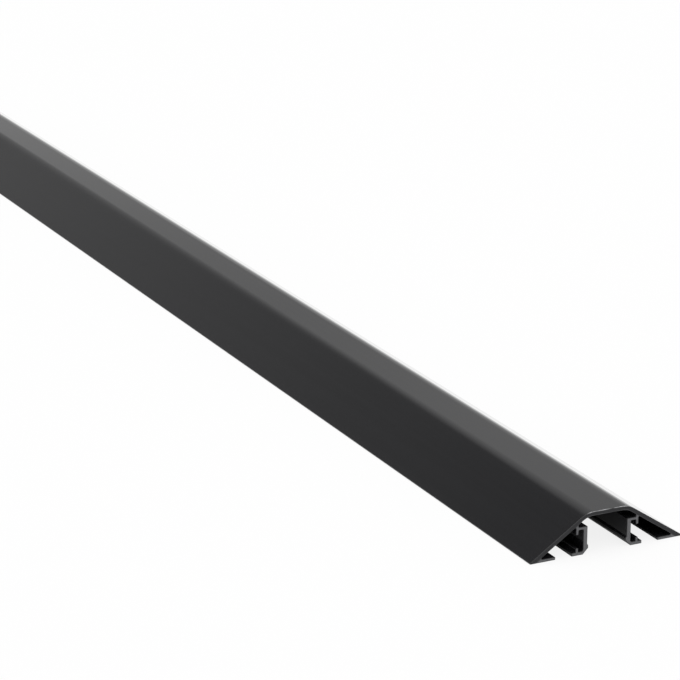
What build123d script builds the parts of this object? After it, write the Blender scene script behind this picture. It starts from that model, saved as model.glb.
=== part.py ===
from build123d import *
import math
import os

# Floor cable protector: one straight length of extruded aluminium, black anodised, that lies over
# cables on a floor. The section is a low ridge with two ramps, open underneath, with a cable channel
# between two legs. The ends are sawn square. Sizes are in millimetres.
# X runs along the length, Y across it, Z up. The origin is the middle of the underside.

# Outer form
length = 1000.0
width = 80.0
height = 20.0
crest_width = 21.8
crest_radius = 12.0
toe_nose = 0.6
toe_radius = 0.3
skin = 2.0

# Cable channel and the leg on each side of it, with a bead and a lead-in low on the channel face
channel_width = 20.8
leg_wall = 2.1
leg_height = 13.5
bead_reach = 0.6
bead_land = 1.2
bead_fade = 1.0
lead_in = 2.8

# Web that runs level from the top of each leg out to the hanging rib
web_wall = 1.3

# Foot of each leg, and the two ribs that hold a flat joiner bar against the leg
foot_reach = 6.0
foot_wall = 1.6
foot_radius = 1.0
rib_wall = 1.3
pocket_width = 2.6
upright_rib_height = 3.6
pocket_mouth = 6.4

# Foot at each toe, and the slot left in the floor of the side chamber
floor_slot = 8.4
toe_foot_wall = 1.4

# Radii that the extrusion die gives to the inside corners and to the free edges of thin walls
inside_radius = 0.5
edge_radius = 0.3

# Places worked out from the sizes above, as distances from the centre line
half_width = width / 2
half_crest = crest_width / 2
leg_inner = channel_width / 2
leg_outer = leg_inner + leg_wall
bead_face = leg_inner - bead_reach
rib_inner = leg_outer + pocket_width
rib_outer = rib_inner + rib_wall
rib_middle = (rib_inner + rib_outer) / 2
foot_tip = leg_outer + foot_reach
toe_foot_tip = foot_tip + floor_slot

# Slope of the ramps, the height of the joiner pocket's ceiling and that of the hanging rib's free end
ramp_angle = math.atan2(height - toe_nose, half_width - half_crest)
pocket_ceiling = leg_height - web_wall
hanging_rib_foot = upright_rib_height + pocket_mouth


def ramp_underside(rise):
    """Distance from the centre line to the underside of the ramp at a height above the floor."""
    return half_crest + (height - rise) / math.tan(ramp_angle) - skin / math.sin(ramp_angle)


def ramp_soffit(across):
    """Height of the underside of the ramp at a distance from the centre line."""
    return height - (across - half_crest) * math.tan(ramp_angle) - skin / math.cos(ramp_angle)


def plate(near, far, low, high):
    """Wall of the section between two distances from the centre line and two heights."""
    return Pos((near + far) / 2, (low + high) / 2) * Rectangle(far - near, high - low)


def rounded(form, radius, *corners):
    """Rounds the corners of a flat form that lie nearest to the given places."""
    picked = [form.vertices().sort_by_distance((across, up, 0))[0] for across, up in corners]
    return fillet(picked, radius)


def outer_form():
    """Whole outline of the section: two toes, two ramps and the rounded crest."""
    form = make_face(
        Polyline(
            (-half_width, 0),
            (-half_width, toe_nose),
            (-half_crest, height),
            (half_crest, height),
            (half_width, toe_nose),
            (half_width, 0),
            close=True,
        )
    )
    form = rounded(form, crest_radius, (-half_crest, height), (half_crest, height))
    return rounded(form, toe_radius, (-half_width, toe_nose), (half_width, toe_nose))


def hollow():
    """Space under the skin, which leaves the ramps and the crest one even thickness."""
    ceiling = height - skin
    crest_corner = ramp_underside(ceiling)
    space = make_face(
        Polyline(
            (-ramp_underside(0), 0),
            (-crest_corner, ceiling),
            (crest_corner, ceiling),
            (ramp_underside(0), 0),
            close=True,
        )
    )
    return rounded(space, crest_radius - skin, (-crest_corner, ceiling), (crest_corner, ceiling))


def leg():
    """Leg beside the channel with its bead and web, and the foot that carries it with its rib."""
    bead_top = lead_in + bead_land
    bead = make_face(
        Polyline(
            (bead_face, 0),
            (bead_face, bead_top),
            (leg_inner, bead_top + bead_fade),
            (leg_outer, bead_top + bead_fade),
            (leg_outer, 0),
            close=True,
        )
    )
    foot = plate(bead_face, foot_tip, 0, foot_wall)
    walls = bead + foot + plate(leg_inner, leg_outer, 0, leg_height)
    walls = walls + plate(leg_inner, rib_middle, pocket_ceiling, leg_height)
    walls = rounded(walls, foot_radius, (leg_outer, foot_wall))
    walls = rounded(walls, edge_radius, (leg_inner, leg_height))
    walls = rounded(walls, edge_radius, (foot_tip, 0), (foot_tip, foot_wall))
    walls = walls + plate(rib_inner, rib_outer, 0, upright_rib_height)
    walls = rounded(walls, edge_radius, (rib_inner, upright_rib_height), (rib_outer, upright_rib_height))
    under_bead = make_face(
        Polyline((bead_face, 0), (bead_face + lead_in, 0), (bead_face, lead_in), close=True)
    )
    return walls - under_bead


def hanging_rib():
    """Rib that hangs from the ramp past the web, down to the mouth of the joiner pocket."""
    rib = plate(rib_inner, rib_outer, hanging_rib_foot, height)
    return rounded(rib, edge_radius, (rib_inner, hanging_rib_foot), (rib_outer, hanging_rib_foot))


def toe_foot():
    """Foot under the ramp, from the toe in to the floor slot."""
    foot = plate(toe_foot_tip, half_width, 0, toe_foot_wall)
    return rounded(foot, edge_radius, (toe_foot_tip, 0), (toe_foot_tip, toe_foot_wall))


def section():
    """Section of the profile, across and up: skin, legs, webs and feet, with their inside corners.
    The rib is short over the web, so the corners at the two ends of that stretch have half of it at most."""
    form = outer_form()
    right = [leg(), hanging_rib() & form, toe_foot() & form]
    left = [mirror(wall, Plane.YZ) for wall in right]
    walls = (form - hollow()) + right + left
    rib_over_web = abs(ramp_soffit(rib_inner) - leg_height)
    for side in (-1, 1):
        walls = rounded(
            walls,
            min(inside_radius, rib_over_web / 2),
            (side * rib_inner, leg_height),
            (side * rib_inner, ramp_soffit(rib_inner)),
        )
        walls = rounded(
            walls,
            inside_radius,
            (side * leg_outer, pocket_ceiling),
            (side * rib_inner, pocket_ceiling),
            (side * rib_outer, ramp_soffit(rib_outer)),
            (side * ramp_underside(toe_foot_wall), toe_foot_wall),
        )
    return walls


profile = extrude(Plane.YZ * section(), length / 2, both=True)

os.makedirs("parts", exist_ok=True)
export_step(profile, "parts/cable_protector_profile.step")
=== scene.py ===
import math

import bpy
import numpy as np
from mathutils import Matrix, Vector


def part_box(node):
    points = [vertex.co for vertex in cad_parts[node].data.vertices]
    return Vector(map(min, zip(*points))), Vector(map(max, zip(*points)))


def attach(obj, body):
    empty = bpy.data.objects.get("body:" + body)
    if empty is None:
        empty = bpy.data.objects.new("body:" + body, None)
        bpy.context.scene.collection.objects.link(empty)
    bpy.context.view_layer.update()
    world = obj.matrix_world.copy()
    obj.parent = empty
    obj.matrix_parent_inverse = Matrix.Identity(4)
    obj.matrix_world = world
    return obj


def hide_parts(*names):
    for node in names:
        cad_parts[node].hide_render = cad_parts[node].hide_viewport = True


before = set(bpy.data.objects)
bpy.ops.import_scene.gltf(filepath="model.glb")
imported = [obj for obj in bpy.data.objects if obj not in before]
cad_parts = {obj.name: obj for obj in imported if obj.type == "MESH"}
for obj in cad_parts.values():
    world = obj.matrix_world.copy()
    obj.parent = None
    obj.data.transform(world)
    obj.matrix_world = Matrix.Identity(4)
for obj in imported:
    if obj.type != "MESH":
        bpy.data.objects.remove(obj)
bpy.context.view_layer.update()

# The profile: one length of extruded aluminium, pushed hot through a die as a low ridge. Two ramps and
# a crest of one thickness stand over two legs with their feet, webs and ribs. It is stretched straight,
# sawn square and broken at the sawn edges.
MM = 0.001
PROFILE_NODE = "cable_protector_profile"
low, high = (np.array(corner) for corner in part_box(PROFILE_NODE))
length, width, height = high - low

crest_width = 21.8 * MM
crest_radius = 12.0 * MM
toe_nose = 0.6 * MM
toe_radius = 0.3 * MM
skin = 2.0 * MM
half_crest = crest_width / 2
ramp_angle = math.atan2(height - toe_nose, width / 2 - half_crest)

channel_width = 20.8 * MM
leg_wall = 2.1 * MM
leg_height = 13.5 * MM
bead_reach = 0.6 * MM
bead_land = 1.2 * MM
bead_fade = 1.0 * MM
lead_in = 2.8 * MM

web_wall = 1.3 * MM

foot_reach = 6.0 * MM
foot_wall = 1.6 * MM
foot_radius = 1.0 * MM
rib_wall = 1.3 * MM
pocket_width = 2.6 * MM
upright_rib_height = 3.6 * MM
pocket_mouth = 6.4 * MM

floor_slot = 8.4 * MM
toe_foot_wall = 1.4 * MM

inside_radius = 0.5 * MM
edge_radius = 0.3 * MM
least_radius = 0.3 * MM
sawn_edge_radius = 0.25 * MM

arc_steps = 12
sawn_edge_steps = 4
body_stations = 41


def half_section():
    """Corners of the right half of the section, clockwise from the crest to the ceiling, each as
    distance from the centre line, height and radius. The ramp's underside is the ramp's line moved
    in by the skin, so its height falls by the ramp's slope from the crest outwards."""
    leg_inner = channel_width / 2
    leg_outer = leg_inner + leg_wall
    bead_face = leg_inner - bead_reach
    bead_top = lead_in + bead_land
    rib_inner = leg_outer + pocket_width
    rib_outer = rib_inner + rib_wall
    rib_foot = upright_rib_height + pocket_mouth
    foot_tip = leg_outer + foot_reach
    toe_foot_tip = foot_tip + floor_slot
    ceiling = height - skin

    def soffit(across):
        return height - (across - half_crest) * math.tan(ramp_angle) - skin / math.cos(ramp_angle)

    def under_ramp(up):
        return half_crest + (height - up) / math.tan(ramp_angle) - skin / math.sin(ramp_angle)

    return np.array([
        (half_crest, height, crest_radius),
        (width / 2, toe_nose, toe_radius),
        (width / 2, 0, least_radius),
        (toe_foot_tip, 0, edge_radius),
        (toe_foot_tip, toe_foot_wall, edge_radius),
        (under_ramp(toe_foot_wall), toe_foot_wall, inside_radius),
        (rib_outer, soffit(rib_outer), inside_radius),
        (rib_outer, rib_foot, edge_radius),
        (rib_inner, rib_foot, edge_radius),
        (rib_inner, leg_height - web_wall, inside_radius),
        (leg_outer, leg_height - web_wall, inside_radius),
        (leg_outer, foot_wall, foot_radius),
        (rib_inner, foot_wall, least_radius),
        (rib_inner, upright_rib_height, edge_radius),
        (rib_outer, upright_rib_height, edge_radius),
        (rib_outer, foot_wall, least_radius),
        (foot_tip, foot_wall, edge_radius),
        (foot_tip, 0, edge_radius),
        (bead_face + lead_in, 0, least_radius),
        (bead_face, lead_in, least_radius),
        (bead_face, bead_top, least_radius),
        (leg_inner, bead_top + bead_fade, least_radius),
        (leg_inner, leg_height, edge_radius),
        (rib_inner, leg_height, inside_radius),
        (rib_inner, soffit(rib_inner), inside_radius),
        (under_ramp(ceiling), ceiling, crest_radius - skin),
    ])


def rounded_outline(corners, steps):
    """Outline and outward normals of a clockwise loop of corners.
    With u and v the directions from a corner to its neighbours and h half the angle between them, the
    arc's centre lies at radius / sin(h) along their bisector. A point at share s of the turn t = pi - 2h
    is centre + radius * (sin((1 - s) t) a + sin(s t) b) / sin(t), where a and b point from the centre
    to the two ends of the arc. The normal is that direction, turned inwards at a hollow corner."""
    place = corners[:, :2]
    radius = corners[:, 2:]
    to_last = np.roll(place, 1, axis=0) - place
    to_next = np.roll(place, -1, axis=0) - place
    to_last /= np.linalg.norm(to_last, axis=1, keepdims=True)
    to_next /= np.linalg.norm(to_next, axis=1, keepdims=True)
    half = np.arccos(np.sum(to_last * to_next, axis=1, keepdims=True)) / 2
    bisector = to_last + to_next
    bisector /= np.linalg.norm(bisector, axis=1, keepdims=True)
    centre = place + bisector * radius / np.sin(half)
    reach = radius / np.tan(half)
    first = (place + to_last * reach - centre) / radius
    last = (place + to_next * reach - centre) / radius
    turn = (math.pi - 2 * half)[:, None, :]
    share = np.linspace(0, 1, steps + 1)[None, :, None]
    direction = np.sin((1 - share) * turn) * first[:, None] + np.sin(share * turn) * last[:, None]
    direction /= np.sin(turn)
    hollow = to_last[:, 0] * to_next[:, 1] - to_last[:, 1] * to_next[:, 0] < 0
    points = centre[:, None] + direction * radius[:, None]
    normals = np.where(hollow[:, None, None], -direction, direction)
    return points.reshape(-1, 2), normals.reshape(-1, 2)


def swept_profile(points, normals):
    """Vertices, normals and quads of the outline carried along X.
    Round the sawn edge, at angle a from the side to the end face, a ring lies at
    end - radius * (1 - sin(a)) and is drawn in along its normals by radius * (1 - cos(a)), and its
    normal is cos(a) times the outline's and sin(a) along X."""
    bend = np.linspace(0, math.pi / 2, sawn_edge_steps + 1)
    body = np.linspace(-1, 1, body_stations) * (length / 2 - sawn_edge_radius)
    back = -length / 2 + sawn_edge_radius * (1 - np.sin(bend[:0:-1]))
    station = np.concatenate([back, body, -back[::-1]])
    angle = np.concatenate([-bend[:0:-1], np.zeros(body_stations), bend[1:]])
    inset = sawn_edge_radius * (1 - np.cos(angle))
    rings, around = len(station), len(points)
    places = np.empty((rings, around, 3))
    places[:, :, 0] = station[:, None]
    places[:, :, 1:] = points[None] - inset[:, None, None] * normals[None]
    facing = np.empty((rings, around, 3))
    facing[:, :, 0] = np.sin(angle)[:, None]
    facing[:, :, 1:] = np.cos(angle)[:, None, None] * normals[None]
    ring = np.arange(rings - 1)[:, None] * around
    here = np.arange(around)[None]
    then = (here + 1) % around
    quads = np.stack([ring + here, ring + around + here, ring + around + then, ring + then], axis=-1)
    return places.reshape(-1, 3), facing.reshape(-1, 3), quads.reshape(-1, 4)


right_half = half_section()
left_half = right_half[::-1] * (-1, 1, 1)
outline, outline_normals = rounded_outline(np.concatenate([right_half, left_half]), arc_steps)
vertices, vertex_normals, quads = swept_profile(outline, outline_normals)
ring_size = len(outline)
end_b = np.arange(ring_size)
end_a = np.arange(len(vertices) - ring_size, len(vertices))[::-1]
faces = quads.tolist() + [end_b.tolist(), end_a.tolist()]

profile_mesh = bpy.data.meshes.new("profile")
profile_mesh.from_pydata(vertices.tolist(), [], faces)
profile_mesh.polygons.foreach_set("use_smooth", np.ones(len(faces), dtype=bool))
profile_mesh.normals_split_custom_set_from_vertices(vertex_normals.tolist())
profile = bpy.data.objects.new("profile", profile_mesh)
bpy.context.scene.collection.objects.link(profile)


# The finish of the profile: black anodised aluminium, which is etched matt, dyed and sealed. The sawn
# ends keep the marks of the saw. On the sawn end the walls inside the outer shell are painted paler, a
# painted highlight for the light that their broken edges catch, and the crest's broken edge has a painted
# highlight of pale grey.
skin_black = "#1A1A1C"
streak_black = "#1E1E20"
sawn_black = "#262628"
# A painted highlight: the paler grey of the sawn walls inside the outer shell.
inner_wall_highlight_grey = "#606062"
# A painted highlight: the pale grey of the crest's broken edge.
edge_highlight_grey = "#A4A4A6"
film_ior = 1.5

# Real die lines and saw marks are 0.1 to 0.3 mm apart. They are drawn as coarse as they need to show.
die_line_pitch = 1.2 * MM
die_line_run = 600 * MM
die_line_gloss = (-0.02, 0.02)
die_line_relief = 0.02 * MM
die_line_strength = 0.15
etch_patch = 60 * MM
etch_gloss = (0.13, 0.16)
noise_span = (0.3, 0.7)
slant_start = 0.72
slant_end = 0.93
slant_gloss = 0.2

saw_mark_pitch = 0.8 * MM
saw_mark_relief = 0.03 * MM
saw_mark_strength = 0.3
saw_radius = 200 * MM
saw_centre_height = saw_radius / 3
sawn_roughness = (0.38, 0.5)
sawn_gloss = 0.25
# Depths below the outer faces over which the painted highlight of the inner walls fades in.
inner_highlight_start = 0.8 * skin
inner_highlight_end = 1.3 * skin

# Painted highlight on the crest's broken edge: its patch size, noise span and depth below the crest.
edge_highlight_patch = 5 * MM
edge_highlight_span = (0.35, 0.6)
edge_highlight_depth = 2.5 * MM
broken_edge_roughness = 0.35

# A wave texture of scale 1 repeats every 0.314 m. A Mix node has its colours on these sockets.
wave_period = 0.314
mix_first_colour = 6
mix_second_colour = 7
mix_result_colour = 2


def linear(hex_colour):
    """Linear RGBA of an sRGB hex colour: each channel c becomes ((c + 0.055) / 1.055) ^ 2.4, or
    c / 12.92 where it is nearly black."""
    channels = np.array([int(hex_colour[i:i + 2], 16) for i in (1, 3, 5)]) / 255
    curved = np.where(channels > 0.04045, ((channels + 0.055) / 1.055) ** 2.4, channels / 12.92)
    return (*curved, 1.0)


def bare_material(name):
    """New material and its node tree, emptied."""
    material = bpy.data.materials.new(name)
    material.use_nodes = True
    material.node_tree.nodes.clear()
    return material, material.node_tree


def add_node(tree, kind, settings=(), values=(), links=()):
    """Adds a node of a kind to a tree: settings are its own properties, values go on its input
    sockets, and links feed its input sockets from other nodes' outputs."""
    node = tree.nodes.new(kind)
    for name, value in dict(settings).items():
        setattr(node, name, value)
    for name, value in dict(values).items():
        node.inputs[name].default_value = value
    for name, output in dict(links).items():
        tree.links.new(output, node.inputs[name])
    return node


def black_anodised_aluminium():
    """Extruded skin, a dark and even satin with faint lines along the length. Die lines are noise
    squeezed to their pitch across the run and drawn out along it, and the dye is a shade lighter or
    darker along them. A broad noise varies the gloss as the etch does. Seen along the surface, where
    the facing weight 1 - cos(angle) nears 1, an etched film mirrors more sharply, so its roughness
    falls."""
    material, tree = bare_material("black anodised aluminium, extruded")
    place = add_node(tree, "ShaderNodeTexCoord")
    squeezed = add_node(
        tree, "ShaderNodeMapping",
        values={"Scale": (1 / die_line_run, 1 / die_line_pitch, 1 / die_line_pitch)},
        links={"Vector": place.outputs["Object"]},
    )
    die_lines = add_node(
        tree, "ShaderNodeTexNoise",
        values={"Scale": 1.0, "Detail": 3.0, "Roughness": 0.6},
        links={"Vector": squeezed.outputs["Vector"]},
    )
    etch = add_node(
        tree, "ShaderNodeTexNoise",
        values={"Scale": 1 / etch_patch, "Detail": 2.0},
        links={"Vector": place.outputs["Object"]},
    )
    line_share = add_node(
        tree, "ShaderNodeMapRange",
        values={
            "From Min": noise_span[0], "From Max": noise_span[1],
            "To Min": die_line_gloss[0], "To Max": die_line_gloss[1],
        },
        links={"Value": die_lines.outputs["Fac"]},
    )
    etch_share = add_node(
        tree, "ShaderNodeMapRange",
        values={
            "From Min": noise_span[0], "From Max": noise_span[1],
            "To Min": etch_gloss[0], "To Max": etch_gloss[1],
        },
        links={"Value": etch.outputs["Fac"]},
    )
    head_on_gloss = add_node(
        tree, "ShaderNodeMath", {"operation": "ADD"},
        links={0: line_share.outputs["Result"], 1: etch_share.outputs["Result"]},
    )
    slant = add_node(tree, "ShaderNodeLayerWeight")
    slant_share = add_node(
        tree, "ShaderNodeMapRange", {"interpolation_type": "SMOOTHSTEP"},
        values={"From Min": slant_start, "From Max": slant_end, "To Min": 1.0, "To Max": slant_gloss},
        links={"Value": slant.outputs["Facing"]},
    )
    gloss = add_node(
        tree, "ShaderNodeMath", {"operation": "MULTIPLY"},
        links={0: head_on_gloss.outputs["Value"], 1: slant_share.outputs["Result"]},
    )
    relief = add_node(
        tree, "ShaderNodeBump",
        values={"Strength": die_line_strength, "Distance": die_line_relief},
        links={"Height": die_lines.outputs["Fac"]},
    )
    streaks = add_node(
        tree, "ShaderNodeMapRange",
        values={"From Min": noise_span[0], "From Max": noise_span[1]},
        links={"Value": die_lines.outputs["Fac"]},
    )
    dye = add_node(
        tree, "ShaderNodeMix", {"data_type": "RGBA"},
        values={mix_first_colour: linear(skin_black), mix_second_colour: linear(streak_black)},
        links={"Factor": streaks.outputs["Result"]},
    )
    surface = add_node(
        tree, "ShaderNodeBsdfPrincipled",
        values={"Metallic": 0.0, "IOR": film_ior},
        links={
            "Base Color": dye.outputs[mix_result_colour],
            "Roughness": gloss.outputs["Value"],
            "Normal": relief.outputs["Normal"],
        },
    )
    add_node(tree, "ShaderNodeOutputMaterial", links={"Surface": surface.outputs["BSDF"]})
    return material


def sawn_anodised_aluminium():
    """Sawn end, duller than the skin, with fine curved marks, and legs, webs and ribs painted paler as a
    painted highlight for the light that their broken edges catch. The marks are arcs about a centre one
    saw radius to the side of the section. The painted highlight goes by the depth below the outer faces,
    which is the lesser of the distances from the crest's plane, height - z, and from the ramp's plane,
    (height - z) cos(ramp) - (|y| - half_crest) sin(ramp)."""
    material, tree = bare_material("black anodised aluminium, sawn, with painted highlight")
    place = add_node(tree, "ShaderNodeTexCoord")
    about_saw = add_node(
        tree, "ShaderNodeMapping",
        values={"Location": (0, saw_radius, -saw_centre_height)},
        links={"Vector": place.outputs["Object"]},
    )
    saw_marks = add_node(
        tree, "ShaderNodeTexWave", {"wave_type": "RINGS", "rings_direction": "X"},
        values={
            "Scale": wave_period / saw_mark_pitch,
            "Distortion": 1.5, "Detail": 2.0, "Detail Scale": 0.3,
        },
        links={"Vector": about_saw.outputs["Vector"]},
    )
    gloss = add_node(
        tree, "ShaderNodeMapRange",
        values={"To Min": sawn_roughness[0], "To Max": sawn_roughness[1]},
        links={"Value": saw_marks.outputs["Fac"]},
    )
    relief = add_node(
        tree, "ShaderNodeBump",
        values={"Strength": saw_mark_strength, "Distance": saw_mark_relief},
        links={"Height": saw_marks.outputs["Fac"]},
    )
    parts = add_node(tree, "ShaderNodeSeparateXYZ", links={"Vector": place.outputs["Object"]})
    across = add_node(tree, "ShaderNodeMath", {"operation": "ABSOLUTE"}, links={0: parts.outputs["Y"]})
    under_crest = add_node(
        tree, "ShaderNodeMath", {"operation": "SUBTRACT"},
        values={0: height},
        links={1: parts.outputs["Z"]},
    )
    past_crest = add_node(
        tree, "ShaderNodeMath", {"operation": "MULTIPLY_ADD"},
        values={1: -math.sin(ramp_angle), 2: half_crest * math.sin(ramp_angle)},
        links={0: across.outputs["Value"]},
    )
    under_ramp = add_node(
        tree, "ShaderNodeMath", {"operation": "MULTIPLY_ADD"},
        values={1: math.cos(ramp_angle)},
        links={0: under_crest.outputs["Value"], 2: past_crest.outputs["Value"]},
    )
    depth = add_node(
        tree, "ShaderNodeMath", {"operation": "MINIMUM"},
        links={0: under_crest.outputs["Value"], 1: under_ramp.outputs["Value"]},
    )
    # Painted highlight: the sawn black turns to a paler grey on the walls deeper than the outer shell.
    inside = add_node(
        tree, "ShaderNodeMapRange", {"interpolation_type": "SMOOTHSTEP"},
        values={"From Min": inner_highlight_start, "From Max": inner_highlight_end},
        links={"Value": depth.outputs["Value"]},
    )
    dye = add_node(
        tree, "ShaderNodeMix", {"data_type": "RGBA"},
        values={mix_first_colour: linear(sawn_black), mix_second_colour: linear(inner_wall_highlight_grey)},
        links={"Factor": inside.outputs["Result"]},
    )
    surface = add_node(
        tree, "ShaderNodeBsdfPrincipled",
        values={"Metallic": 0.0, "IOR": film_ior, "Specular IOR Level": sawn_gloss},
        links={
            "Base Color": dye.outputs[mix_result_colour],
            "Roughness": gloss.outputs["Result"],
            "Normal": relief.outputs["Normal"],
        },
    )
    add_node(tree, "ShaderNodeOutputMaterial", links={"Surface": surface.outputs["BSDF"]})
    return material


def edge_highlight_anodised_aluminium():
    """Broken edge of the sawn end, with a painted highlight. A noise of a few millimetres, which fades
    out a little way below the crest, mixes a pale grey into the black, so the crest's edge shows a
    painted highlight as an uneven hairline."""
    material, tree = bare_material("black anodised aluminium, sawn edge with painted highlight")
    place = add_node(tree, "ShaderNodeTexCoord")
    edge_highlight_noise = add_node(
        tree, "ShaderNodeTexNoise",
        values={"Scale": 1 / edge_highlight_patch, "Detail": 2.0},
        links={"Vector": place.outputs["Object"]},
    )
    patches = add_node(
        tree, "ShaderNodeMapRange",
        values={"From Min": edge_highlight_span[0], "From Max": edge_highlight_span[1]},
        links={"Value": edge_highlight_noise.outputs["Fac"]},
    )
    parts = add_node(tree, "ShaderNodeSeparateXYZ", links={"Vector": place.outputs["Object"]})
    near_crest = add_node(
        tree, "ShaderNodeMapRange", {"interpolation_type": "SMOOTHSTEP"},
        values={"From Min": height - edge_highlight_depth, "From Max": height},
        links={"Value": parts.outputs["Z"]},
    )
    edge_highlight_share = add_node(
        tree, "ShaderNodeMath", {"operation": "MULTIPLY"},
        links={0: patches.outputs["Result"], 1: near_crest.outputs["Result"]},
    )
    # Painted highlight: pale grey mixed into the black in patches near the crest.
    dye = add_node(
        tree, "ShaderNodeMix", {"data_type": "RGBA"},
        values={mix_first_colour: linear(sawn_black), mix_second_colour: linear(edge_highlight_grey)},
        links={"Factor": edge_highlight_share.outputs["Value"]},
    )
    surface = add_node(
        tree, "ShaderNodeBsdfPrincipled",
        values={"Metallic": 0.0, "IOR": film_ior, "Roughness": broken_edge_roughness},
        links={"Base Color": dye.outputs[mix_result_colour]},
    )
    add_node(tree, "ShaderNodeOutputMaterial", links={"Surface": surface.outputs["BSDF"]})
    return material


skin_slot, sawn_slot, edge_highlight_slot = range(3)
profile_mesh.materials.append(black_anodised_aluminium())
profile_mesh.materials.append(sawn_anodised_aluminium())
profile_mesh.materials.append(edge_highlight_anodised_aluminium())
# The broken edges round both sawn ends carry the painted highlight of the crest's edge.
edge_faces = sawn_edge_steps * ring_size
face_finish = np.full(len(faces), skin_slot, dtype=np.int32)
face_finish[:edge_faces] = edge_highlight_slot
face_finish[len(quads) - edge_faces:len(quads)] = edge_highlight_slot
face_finish[len(quads):] = sawn_slot
profile_mesh.polygons.foreach_set("material_index", face_finish)

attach(profile, "root")
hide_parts(PROFILE_NODE)


# The floor: a plain white studio floor, wide enough to fill the picture. Seen straight or in a reflection
# it is mostly its own even white, with the profile's soft shadow. The strip that the profile covers is a
# piece of its own, because hardly any of its light reaches the walls inside.
floor_half = 30.0
floor_white = "#FAFAFA"
floor_own_light = 0.85
covered_own_light = 0.05
floor_gap = 0.02 * MM


def grey(level):
    """Linear RGBA of a plain grey light."""
    return (level, level, level, 1.0)


def white_floor(name, mirrored_share):
    """Floor paint mixed with its own light: a share of the mix for what the camera sees, and another
    for what a glossy or a clear surface shows of it."""
    material, tree = bare_material(name)
    ray = add_node(tree, "ShaderNodeLightPath")
    mirrored = add_node(
        tree, "ShaderNodeMath", {"operation": "MAXIMUM"},
        links={0: ray.outputs["Is Glossy Ray"], 1: ray.outputs["Is Transmission Ray"]},
    )
    mirrored_light = add_node(
        tree, "ShaderNodeMath", {"operation": "MULTIPLY"},
        values={1: mirrored_share},
        links={0: mirrored.outputs["Value"]},
    )
    own_light = add_node(
        tree, "ShaderNodeMath", {"operation": "MULTIPLY_ADD"},
        values={1: floor_own_light},
        links={0: ray.outputs["Is Camera Ray"], 2: mirrored_light.outputs["Value"]},
    )
    paint = add_node(tree, "ShaderNodeBsdfDiffuse", values={"Color": linear(floor_white)})
    glow = add_node(tree, "ShaderNodeEmission", values={"Color": grey(1.0)})
    surface = add_node(
        tree, "ShaderNodeMixShader",
        links={0: own_light.outputs["Value"], 1: paint.outputs["BSDF"], 2: glow.outputs["Emission"]},
    )
    add_node(tree, "ShaderNodeOutputMaterial", links={"Surface": surface.outputs["Shader"]})
    return material


def floor_piece(name, half_length, half_width, level, material):
    """Flat rectangle about the origin at a level, facing up."""
    mesh = bpy.data.meshes.new(name)
    corners = np.array([(-1, -1, 0), (1, -1, 0), (1, 1, 0), (-1, 1, 0)]) * (half_length, half_width, 0)
    mesh.from_pydata((corners + (0, 0, level)).tolist(), [], [(0, 1, 2, 3)])
    mesh.materials.append(material)
    piece = bpy.data.objects.new(name, mesh)
    bpy.context.scene.collection.objects.link(piece)


floor_piece(
    "floor", floor_half, floor_half, -2 * floor_gap,
    white_floor("studio floor", floor_own_light),
)
floor_piece(
    "floor under the profile", length / 2, width / 2, -floor_gap,
    white_floor("studio floor, covered", covered_own_light),
)


# The light: a white studio, whose floor sweeps up into a white cove all round. A tent of evenly lit cloth
# hangs behind the camera and to the right of the run. The bare walls past the far end are bright at their
# foot and dim above, under a dark ceiling, and a broad lamp overhead brings a white face up to white.
ceiling_level = 0.14
wall_level = 0.39
wall_foot_level = 0.64
tent_level = 0.568
cove_level = 1.0

# Each part ends softly: the walls, their foot and the cove between two rises, which are sines of the
# angle above the floor, and the tent between two cosines of the angle from its middle.
wall_top = (0.35, 0.68)
wall_foot_top = (0.2, 0.3)
cove_top = (0.02, 0.05)
tent_way = np.array((0.693, 0.519, 0.500))
tent_edge = (-0.27, -0.147)

lamp_level = 1.55
lamp_spread = 90
lamp_tilt = (-10, 12, 0)

world = bpy.data.worlds.new("studio")
bpy.context.scene.world = world
world.use_nodes = True
sky_tree = world.node_tree
sky_tree.nodes.clear()


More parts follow.
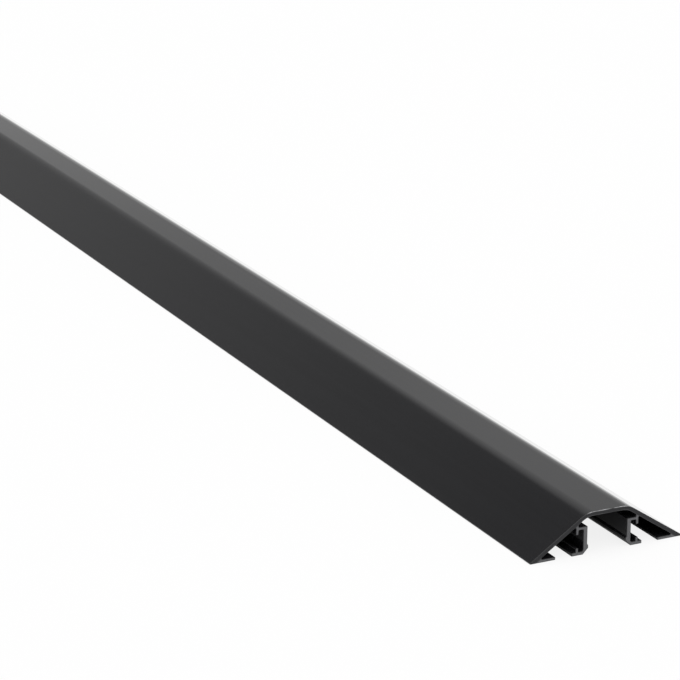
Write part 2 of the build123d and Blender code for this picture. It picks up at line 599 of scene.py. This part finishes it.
def with_lit_part(behind, level, measure, edge, shares):
    """Light of the studio with an evenly lit part set before what is behind it. The part's share goes
    smoothly from the first share to the second as the measure crosses the edge."""
    share = add_node(
        sky_tree, "ShaderNodeMapRange", {"interpolation_type": "SMOOTHSTEP"},
        values={"From Min": edge[0], "From Max": edge[1], "To Min": shares[0], "To Max": shares[1]},
        links={"Value": measure},
    )
    light = add_node(sky_tree, "ShaderNodeBackground", values={"Color": grey(level)})
    mixed = add_node(
        sky_tree, "ShaderNodeMixShader",
        links={0: share.outputs["Result"], 1: behind, 2: light.outputs["Background"]},
    )
    return mixed.outputs["Shader"]


below, past = (1.0, 0.0), (0.0, 1.0)
direction = add_node(sky_tree, "ShaderNodeTexCoord").outputs["Generated"]
rise = add_node(sky_tree, "ShaderNodeSeparateXYZ", links={"Vector": direction}).outputs["Z"]
towards_tent = add_node(
    sky_tree, "ShaderNodeVectorMath", {"operation": "DOT_PRODUCT"},
    values={1: tent_way / np.linalg.norm(tent_way)},
    links={0: direction},
)
ceiling = add_node(sky_tree, "ShaderNodeBackground", values={"Color": grey(ceiling_level)})
studio_light = ceiling.outputs["Background"]
studio_light = with_lit_part(studio_light, wall_level, rise, wall_top, below)
studio_light = with_lit_part(studio_light, wall_foot_level, rise, wall_foot_top, below)
studio_light = with_lit_part(studio_light, tent_level, towards_tent.outputs["Value"], tent_edge, past)
studio_light = with_lit_part(studio_light, cove_level, rise, cove_top, below)
add_node(sky_tree, "ShaderNodeOutputWorld", links={"Surface": studio_light})

lamp_data = bpy.data.lights.new("overhead lamp", "SUN")
lamp_data.energy = lamp_level
lamp_data.angle = math.radians(lamp_spread)
lamp = bpy.data.objects.new("overhead lamp", lamp_data)
lamp.rotation_euler = [math.radians(turn) for turn in lamp_tilt]
bpy.context.scene.collection.objects.link(lamp)


# The camera: it stands past the near end, to the left of the run and above it, and looks along the
# profile with a long lens. Its place, its turn and its lens come from where the photo's long edges meet.
picture_side = 680
focal_length_pixels = 2700
sensor_side = 36
camera_place = (1.4686, -0.6052, 0.4674)
camera_drop = 17.922
camera_turn = 64.082
camera_reach = 50

camera_data = bpy.data.cameras.new("camera")
camera_data.sensor_width = sensor_side
camera_data.lens = focal_length_pixels / picture_side * sensor_side
camera_data.clip_end = camera_reach
camera = bpy.data.objects.new("camera", camera_data)
camera.location = camera_place
camera.rotation_euler = (math.radians(90 - camera_drop), 0, math.radians(camera_turn))
bpy.context.scene.collection.objects.link(camera)
bpy.context.scene.camera = camera

bpy.context.scene.view_settings.view_transform = "Standard"
